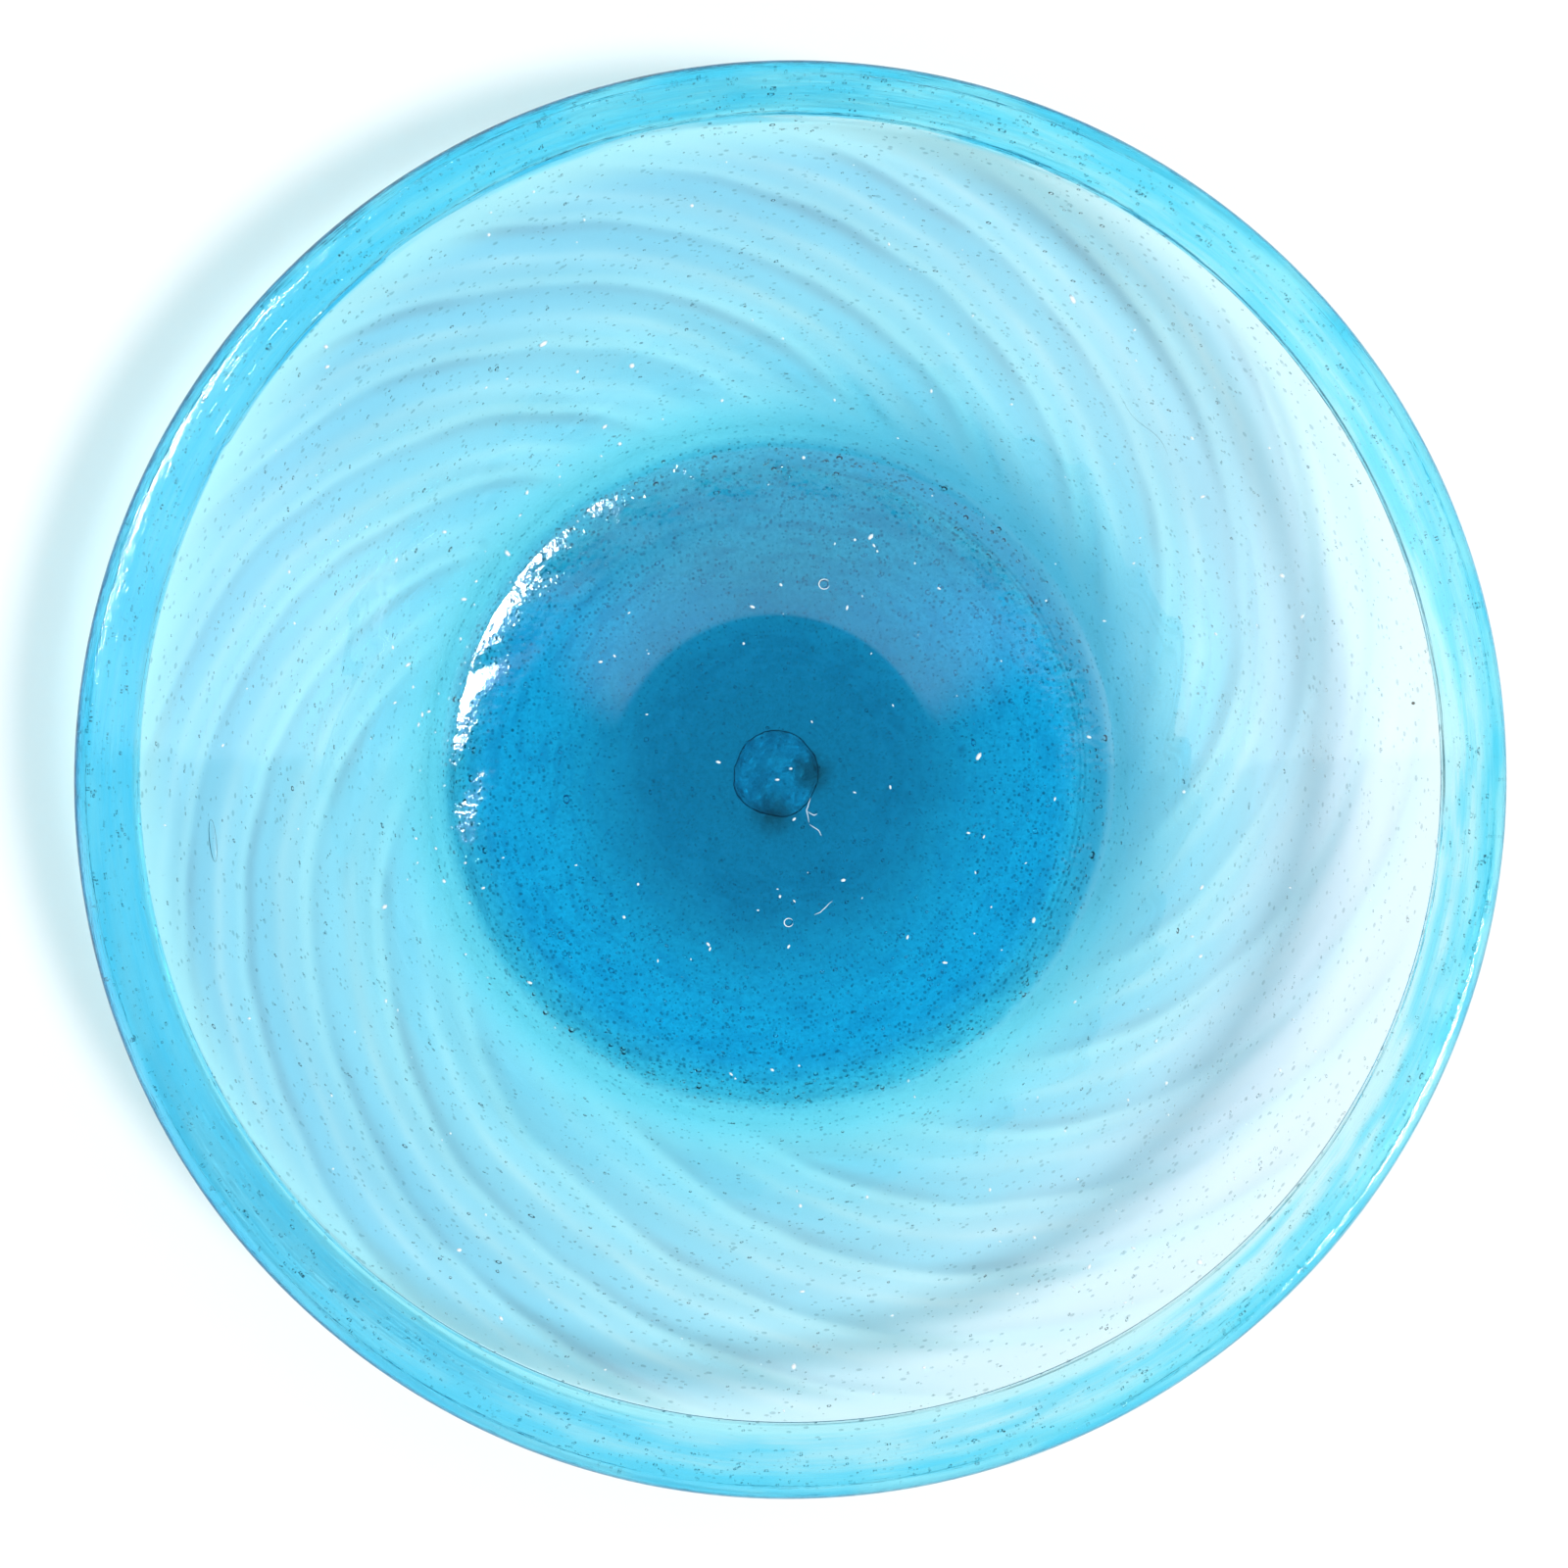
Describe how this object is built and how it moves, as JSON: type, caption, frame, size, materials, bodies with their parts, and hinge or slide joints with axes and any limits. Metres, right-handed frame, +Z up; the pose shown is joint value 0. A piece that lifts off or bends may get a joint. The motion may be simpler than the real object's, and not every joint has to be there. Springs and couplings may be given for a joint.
{
  "type": "art glass bowl",
  "caption": "Round hand-blown turquoise glass bowl with a swirl-ribbed flared wall, folded rim band, thick base and pontil scar, for fruit or display.",
  "frame": {"origin": "centre of the circle that the bowl stands on, at the table", "axes": "+Z up along the bowl's axis, out of its mouth; +X and +Y lie in the table, and the bowl is round about Z"},
  "size_m": [0.3, 0.3, 0.0705],
  "materials": {
    "base_glass": "fire-polished clear turquoise glass, thick, with many small seed bubbles",
    "wall_glass": "fire-polished pale turquoise glass with soft twisted optic ribs and stretched seed bubbles",
    "rim_glass": "fire-polished turquoise glass, doubled by the fold",
    "scar_glass": "rough, chipped glass where the pontil rod was cracked off"
  },
  "bodies": {
    "root": {"base_disc": "base_glass", "swirl_wall": "wall_glass", "rim_fold": "rim_glass", "pontil_scar": "scar_glass"}
  },
  "joints": []
}
